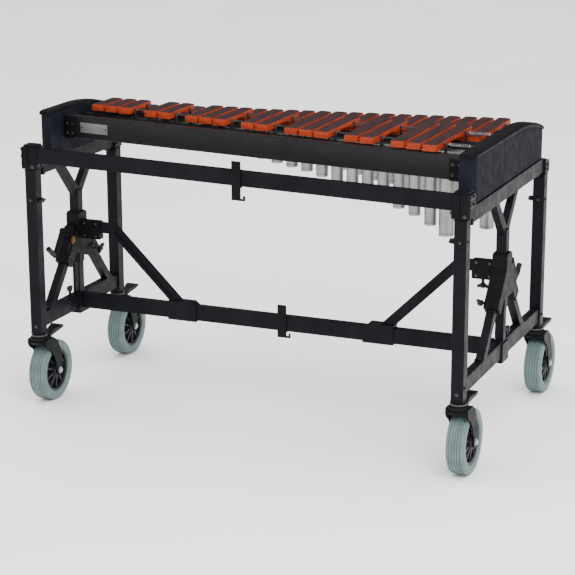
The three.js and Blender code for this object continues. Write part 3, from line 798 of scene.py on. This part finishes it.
def make_caster(side, corner):
    name = f"{side}_{corner}"
    spot = middle_mm(f"{name}_leg")
    spot.z = 0
    place = Matrix.Translation(spot)
    caster, wheel = f"{name}_caster", f"{name}_wheel"
    fork_node, wheel_node, pedal_node = f"{name}_caster_fork", f"{name}_caster_wheel", f"{name}_brake_pedal"

    fork = Shape(place)
    head = [
        (4, 203), (25, 203), (27, 206), (27, 211), (24, 213),
        (20, 214), (20, 222.5), (19, 223.7), (4, 223.7),
    ]
    fork.turned(head, (0, 0, 0), (0, 0, 1), 36)
    crown = [(-15, 193), (-12, 205.5), (28, 205.5), (38, 200), (44, 188), (30, 184), (-8, 184)]
    fork.prism(crown, "X", -32.4, 32.4)
    horn = [
        (-16, 190), (-15, 203), (0, 206), (30, 204), (52, 190), (68, 160), (77, 122), (79, 96),
        (74, 80), (60, 73), (47, 79), (42, 94), (40, 116), (30, 142), (12, 164), (-8, 178),
    ]
    for x0, x1 in ((-32.5, -28.2), (28.2, 32.5)):
        fork.prism(horn, "X", x0, x1)
    piece(f"{name}_fork", fork, CAST, caster, 1.5, 2, (fork_node,))

    axle = Shape(place)
    axle.rod((-36.5, 60, 92), (36.5, 60, 92), 5.0, 20)
    for way in (-1, 1):
        axle.turned([(9.8, 0), (9.8, 1.2), (5, 1.3)], (way * 32.4, 60, 92), (way, 0, 0), 24)
        axle.turned([(7.8, 0), (7.8, 3.2), (6.6, 4.2), (3, 4.2)], (way * 33.5, 60, 92), (way, 0, 0), 6)
    ring = Shape(place)
    ring.turned([(19.5, 0), (23.4, 0.8), (23.4, 5.4), (19.5, 6.2)], (0, 0, 214.2), (0, 0, 1), 36, loop=True)
    piece(f"{name}_swivel_ring", ring, STEEL, caster, 0.4, 2, (fork_node,))
    piece(f"{name}_axle", axle, CHROME, caster, 0.4, 2, (fork_node,))

    hub = Shape(place)
    sleeve = [(6.2, -27), (17, -27), (20, -24), (20, 24), (17, 27), (6.2, 27)]
    hub.turned(sleeve, WHEEL_AXIS, (1, 0, 0), 36, True)
    hub.turned([(18, -4), (62, -4), (62, 4), (18, 4)], WHEEL_AXIS, (1, 0, 0), 48, True)
    rim = [(58, -19), (64.6, -21), (64.6, 21), (58, 19), (59.5, 4), (59.5, -4)]
    hub.turned(rim, WHEEL_AXIS, (1, 0, 0), 56, True)
    for i in range(10):
        turn = Matrix.Translation(WHEEL_AXIS) @ Matrix.Rotation(2 * math.pi * i / 10, 4, "X")
        hub.turn = place @ turn
        hub.loft([
            [(-22, -3.4, 17), (22, -3.4, 17), (22, 3.4, 17), (-22, 3.4, 17)],
            [(-17, -2.2, 60), (17, -2.2, 60), (17, 2.2, 60), (-17, 2.2, 60)],
        ])
    piece(f"{name}_hub", hub, HUB, wheel, 0.7, 2, (wheel_node,))

    half = [
        (64.2, -22), (67, -25.6), (72, -26.5), (84, -26.5),
        (88.6, -24.4), (91, -20.6), (91.7, -17.2), (89.6, -16.6),
        (89.6, -15.2), (91.8, -14.6), (92, -9), (89.8, -8.4),
        (89.8, -7), (92, -6.4), (92, -0.9), (89.8, -0.3),
    ]
    profile = half + [(radius, -along) for radius, along in reversed(half)]
    tyre = Shape(place).turned(profile, WHEEL_AXIS, (1, 0, 0), 72, True)
    piece(f"{name}_tyre", tyre, RUBBER, wheel, 0.0, 2, (wheel_node,))

    pedal = Shape(place)
    pedal.rod((-13, 46, 199), (13, 46, 199), 6, 20)
    widths = [(46, 10), (54, 10.6), (66, 12), (78, 14.6), (90, 17.6), (100, 20), (110, 21)]
    rings = []
    for y, wide in widths:
        share = (y - 46) / 64
        top = 204 + 13 * min(share / 0.3, 1) + (5 * ((share - 0.3) / 0.7) if share > 0.3 else 0)
        low = 196 + 18 * share
        dish = 1.4 if 0.1 < share < 0.95 else 0
        outline = [
            (-wide, low), (wide, low), (wide, top),
            (wide * 0.6, top - dish), (-wide * 0.6, top - dish), (-wide, top),
        ]
        rings.append([(px, y, pz) for px, pz in outline])
    pedal.loft(rings)
    for i in range(4):
        y = 74 + 8 * i
        share = (y - 46) / 64
        top = 217 + 5 * ((share - 0.3) / 0.7)
        pedal.box(-11 - i, 11 + i, y, y + 3, top - 3, top + 0.2)
    piece(f"{name}_pedal", pedal, KNOB, f"{name}_pedal", 1.3, 3, (pedal_node,))


# ---- Knobs and cranks ----


def wing(shape, place, reach=15.0, start=5.0, height=11.0):
    """A wing knob: a fluted boss and two swept wings, along the +Z of its place."""
    shape.turn = place
    shape.rod((0, 0, -0.2), (0, 0, start + 2), 4.2, 16)
    end = start + height
    boss = [(4, start - 1.5), (7.4, start - 1.5), (8, start), (7.2, end - 1), (5.6, end), (2, end)]
    shape.turned(boss, (0, 0, 0), (0, 0, 1), 24)
    for way in (-1, 1):
        rings = []
        sections = ((0, 4.2, 1, 9), (0.35, 3.8, 1.4, 10), (0.75, 3.3, 2.6, 11), (1, 2.4, 4.4, 10))
        for share, thick, low, high in sections:
            u = way * (4 + (reach - 4) * share)
            rings.append([
                (u, -thick, start + low * height / 11), (u, thick, start + low * height / 11),
                (u, thick, start + high * height / 11), (u, -thick, start + high * height / 11),
            ])
        shape.loft(rings)


def make_leg_knob(side, corner):
    name = f"{side}_{corner}"
    at = joint_place(f"{name}_leg_knob_turn")
    inward = 1 if side == "left" else -1
    centre = middle_mm(f"{name}_leg")
    start = Vector((centre.x + inward * 17.8, at.y, at.z))
    shape = Shape()
    wing(shape, aimed(start, (inward, 0, 0), (0, 1, 0)), 15, 5, 10.6)
    node = f"{name}_leg_knob"
    piece(f"{node}_wing", shape, KNOB, node, 1.1, 3, (node,))


CRANK_PIVOT = (0, -45, 450.2)
ALONG = Vector((0, -0.6387, -0.7695))
ACROSS = Vector((0, -0.7695, 0.6387))


def make_crank(side):
    """The crank and its grip, in (X, along the arm, across the arm) from the gear's pivot."""
    basis = Matrix((Vector((1, 0, 0)), ALONG, ACROSS)).transposed().to_4x4()
    place = end_frame(side) @ Matrix.Translation(CRANK_PIVOT) @ basis
    arm = Shape(place)
    hub = [(4.8, 56), (10, 56), (10, 60), (9, 61), (9, 70.5), (7.6, 72), (3, 72)]
    arm.turned(hub, (0, -10, 0), (0, 0, 1), 28)
    outline = []
    for centre, radius, first, last in ((-10, 9.5, 180, 360), (74, 6.6, 0, 180)):
        outline += [(u, v + centre) for u, v in arc((0, 0), radius, first, last, 12)]
    arm.prism(outline, "Z", 61, 67)
    arm.turned([(3, 62), (5.6, 67.5), (3.2, 68.2), (3.2, 115), (1.6, 116)], (0, 74, 0), (0, 0, 1), 18)
    piece(f"{side}_crank_arm", arm, CAST, f"{side}_crank", 1.0, 3, (f"{side}_crank",))
    grip = Shape(place)
    profile = [
        (3.7, 68.6), (6.0, 68.6), (7.2, 71), (8.4, 78), (8.5, 88), (7.7, 96), (7.6, 102), (8.4, 108),
        (8.2, 111.6), (6.4, 113.8), (3.7, 114),
    ]
    grip.turned(profile, (0, 74, 0), (0, 0, 1), 32, True)
    node = f"{side}_crank_grip"
    piece(f"{node}_handle", grip, KNOB, node, 0.0, 2, (node,))


def make_brace_knob(side):
    place = end_frame(side) @ Matrix.Translation((55, 0, 461.7)) @ Matrix.Rotation(math.pi, 4, "X")
    knob = Shape()
    wing(knob, place, 17, 15, 12)
    node = f"{side}_brace_knob"
    piece(f"{node}_wing", knob, KNOB, node, 1.1, 3, (node,))


# ---- End frames ----


def make_end_frame(side):
    """The frame parts at one end, with their gear, rack, fixed knobs and screws."""
    for part in ("low_end_rail", "column_frame", "yoke", "diagonal_brace", "end_rail"):
        dress(f"{side}_{part}", FRAME, 1.5, 3)
    for part in ("gearbox", "corner_clamp"):
        dress(f"{side}_{part}", CAST, 2.0, 3)
    place = end_frame(side)

    rack = Shape(place)
    pitch = math.pi
    teeth = [(-7.7, 292)]
    for i in range(97):
        z = 292.6 + pitch * i
        teeth += [(-9.2, z), (-11.4, z + pitch * 0.28), (-11.4, z + pitch * 0.52), (-9.2, z + pitch * 0.8)]
    teeth += [(-7.7, 598)]
    rack.prism(teeth, "X", -5.6, 5.6)
    piece(f"{side}_rack", rack, STEEL, "lower_frame")

    gear = Shape(place @ Matrix.Translation(CRANK_PIVOT))
    centre = ALONG * -2 + ACROSS * 22
    outline = []
    for i in range(24):
        for share, radius in ((0, 11.0), (0.3, 13.0), (0.5, 13.0), (0.8, 11.0)):
            angle = 2 * math.pi * (i + share) / 24
            outline.append((centre.y + radius * math.cos(angle), centre.z + radius * math.sin(angle)))
    gear.prism(outline, "X", 17.8, 21.5)
    gear.turned([(6, 0), (6, 3), (3, 3.4)], (21.0, centre.y, centre.z), (1, 0, 0), 20)
    piece(f"{side}_gear", gear, BRASS, "lower_frame", 0.3, 1)

    knobs = Shape()
    wing(knobs, place @ aimed((18.5, 75, 412), (1, 0, 0), (0, 0.77, 0.64)), 19, 14, 14)
    wing(knobs, place @ aimed((-6, -47, 287), (0, 0, 1), (0, 1, 0)), 15, 14, 14)
    piece(f"{side}_frame_knobs", knobs, KNOB, "lower_frame", 1.1, 3)

    bolts = Shape(place)
    cover = Matrix.Translation(CRANK_PIVOT)
    for along, across_arm in ((-50, -10), (48, -10), (48, 12), (-50, 12)):
        point = cover @ (ALONG * along + ACROSS * across_arm)
        bolts.bolt((17.9, point.y, point.z), (1, 0, 0), 3.6)
        bolts.bolt((-17.9, point.y, point.z), (-1, 0, 0), 3.6)
    for x in (32, 72):
        for z in (472, 510):
            bolts.bolt((x, -12.9, z), (0, -1, 0), 2.8)
            bolts.bolt((x, 12.9, z), (0, 1, 0), 2.8)
    for y in (-195, -100, 100, 195):
        bolts.bolt((0, y, 287.2), (0, 0, 1), 4)
    piece(f"{side}_frame_bolts", bolts, STEEL, "lower_frame")


def make_clamp(side):
    """Screws, ribs and the lower lock of the corner clamp."""
    low, high = box_mm(f"{side}_corner_clamp")
    centre_x = middle_mm(f"{side}_front_leg").x
    inward = 1 if side == "left" else -1
    face_y = low.y
    ribs = Shape()
    for x in (-20, -7, 7, 20):
        ribs.box(centre_x + x - 1.8, centre_x + x + 1.8, face_y - 1.4, face_y + 1, 733, 791)
    piece(f"{side}_clamp_ribs", ribs, CAST, "deck", 0.8, 2)
    bolts = Shape()
    front = middle_mm(f"{side}_front_leg").y
    for y in (-13, 13):
        bolts.bolt((centre_x + inward * 25.9, front + y, 740), (inward, 0, 0), 4.2)
        bolts.bolt((centre_x - inward * 25.9, front + y, 762), (-inward, 0, 0), 4.2)
        bolts.bolt((centre_x - inward * 25.9, front + y, 783), (-inward, 0, 0), 4.2)
    bolts.bolt((centre_x + 14, face_y - 0.2, 735), (0, -1, 0), 3.6)
    rear = middle_mm(f"{side}_rear_leg").y
    for z in (711, 722):
        bolts.bolt((centre_x - inward * 20.9, rear - 12 + (z - 711), z), (-inward, 0, 0), 3.8)
        bolts.bolt((centre_x + inward * 20.9, rear - 12 + (z - 711), z), (inward, 0, 0), 3.8)
    piece(f"{side}_rail_bolts", bolts, STEEL, "deck")


def make_leg(side, corner):
    """The leg and slider, with the lock plate on its front and a collar over the caster."""
    name = f"{side}_{corner}"
    dress(f"{name}_leg", FRAME, 2.4, 3)
    dress(f"{name}_leg_slider", FRAME, 1.6, 2)
    centre = middle_mm(f"{name}_leg")
    top = box_mm(f"{name}_leg")[1].z
    at = joint_place(f"{name}_leg_knob_turn")
    lock = Shape(Matrix.Translation((centre.x, centre.y, 0)))
    lock.box(-9, 9, -19.2, -17.2, at.z - 12, at.z + 14)
    lock.box(-5.5, 5.5, -20.4, -19, at.z - 8, at.z + 10)
    for z in (top - 3.4, 226):
        lock.box(-18.6, 18.6, -18.6, -17.2, z, z + 3)
        lock.box(-18.6, 18.6, 17.2, 18.6, z, z + 3)
        lock.box(-18.6, -17.2, -17.2, 17.2, z, z + 3)
        lock.box(17.2, 18.6, -17.2, 17.2, z, z + 3)
    piece(f"{name}_lock", lock, CAST, "lower_frame", 0.6, 2)
    bolts = Shape(Matrix.Translation((centre.x, centre.y, 0)))
    bolts.bolt((0, -20.3, at.z + 1), (0, -1, 0), 2.6)
    bolts.bolt((0, -17.4, 246), (0, -1, 0), 3.4)
    outward = -1 if side == "left" else 1
    bolts.bolt((outward * 17.4, 0, 262), (outward, 0, 0), 4)
    bolts.bolt((outward * 17.4, 0, at.z), (outward, 0, 0), 3.4)
    piece(f"{name}_leg_bolts", bolts, STEEL, "lower_frame")


natural, accidental = make_rows()
for row in (natural, accidental):
    make_bars(row)
    make_resonators(row)
make_block("right", 80 + SHIFT_Y)
make_block("left", -35 + SHIFT_Y, pocket=(62 + SHIFT_Y, 180 + SHIFT_Y, 672.5))
make_boards()
for side, corner in CORNERS:
    make_leg(side, corner)
    make_leg_knob(side, corner)
    make_caster(side, corner)
for side in SIDES:
    make_end_frame(side)
    make_clamp(side)
    make_crank(side)
    make_brace_knob(side)
dress("spreader_bar", FRAME, 2, 3)
dress("front_rail", FRAME, 2, 3)
dress("upper_cover_hook", CAST, 0.9, 2)
dress("lower_cover_hook", CAST, 0.9, 2)


# ---- Room ----

LENS = 118.9
VIEW_ROLL = -0.17


def add_camera():
    data = bpy.data.cameras.new("Camera")
    data.lens = LENS
    data.sensor_width = 36
    camera = bpy.data.objects.new("Camera", data)
    camera.location = (2.11923, -5.0430, 1.8724)
    forward = Vector((-0.3735, 0.8883, -0.2674))
    camera.rotation_euler = forward.to_track_quat("-Z", "Y").to_euler()
    camera.rotation_euler.rotate_axis("Z", math.radians(VIEW_ROLL))
    bpy.context.scene.collection.objects.link(camera)
    bpy.context.scene.camera = camera


def add_light(name, place, target, size, power):
    data = bpy.data.lights.new(name, "AREA")
    data.shape = "RECTANGLE"
    data.size, data.size_y = size
    data.energy = power
    lamp = bpy.data.objects.new(name, data)
    lamp.location = place
    lamp.rotation_euler = (Vector(target) - Vector(place)).to_track_quat("-Z", "Y").to_euler()
    bpy.context.scene.collection.objects.link(lamp)


def add_floor():
    shape = Shape().box(-60000, 60000, -60000, 60000, -20, 0)
    floor = add_object("floor", shape)
    finish = Finish("studio_floor", rough=0.7)
    cloud = finish.limits(finish.noise(1.2, 3), 0.3, 0.7)
    finish.colour(finish.blend(cloud, (0.86, 0.86, 0.86), (0.9, 0.9, 0.9)))
    finish.bump(finish.noise(60, 3), 0.1)
    floor.data.materials.append(finish.material)


def add_world():
    """A white surround. Glossy rays see it dimmer than all others do, to keep dark paint dark at a low angle."""
    world = bpy.data.worlds.new("World")
    world.use_nodes = True
    tree = world.node_tree
    glossy = tree.nodes.new("ShaderNodeLightPath").outputs["Is Glossy Ray"]
    strength = tree.nodes.new("ShaderNodeMapRange")
    strength.inputs["To Min"].default_value = 2.0
    strength.inputs["To Max"].default_value = 0.25
    tree.links.new(glossy, strength.inputs["Value"])
    background = tree.nodes["Background"]
    background.inputs["Color"].default_value = (1, 1, 1, 1)
    tree.links.new(strength.outputs["Result"], background.inputs["Strength"])
    bpy.context.scene.world = world


add_camera()
add_light("key", (2.2, -2.4, 2.8), (0, 0, 0.6), (1.8, 1.2), 110)
add_light("side", (3.6, -0.4, 1.4), (0, 0, 0.6), (1.0, 1.8), 8)
add_light("top", (0, 0, 5.5), (0, 0, 0), (7.0, 7.0), 260)
add_floor()
add_world()
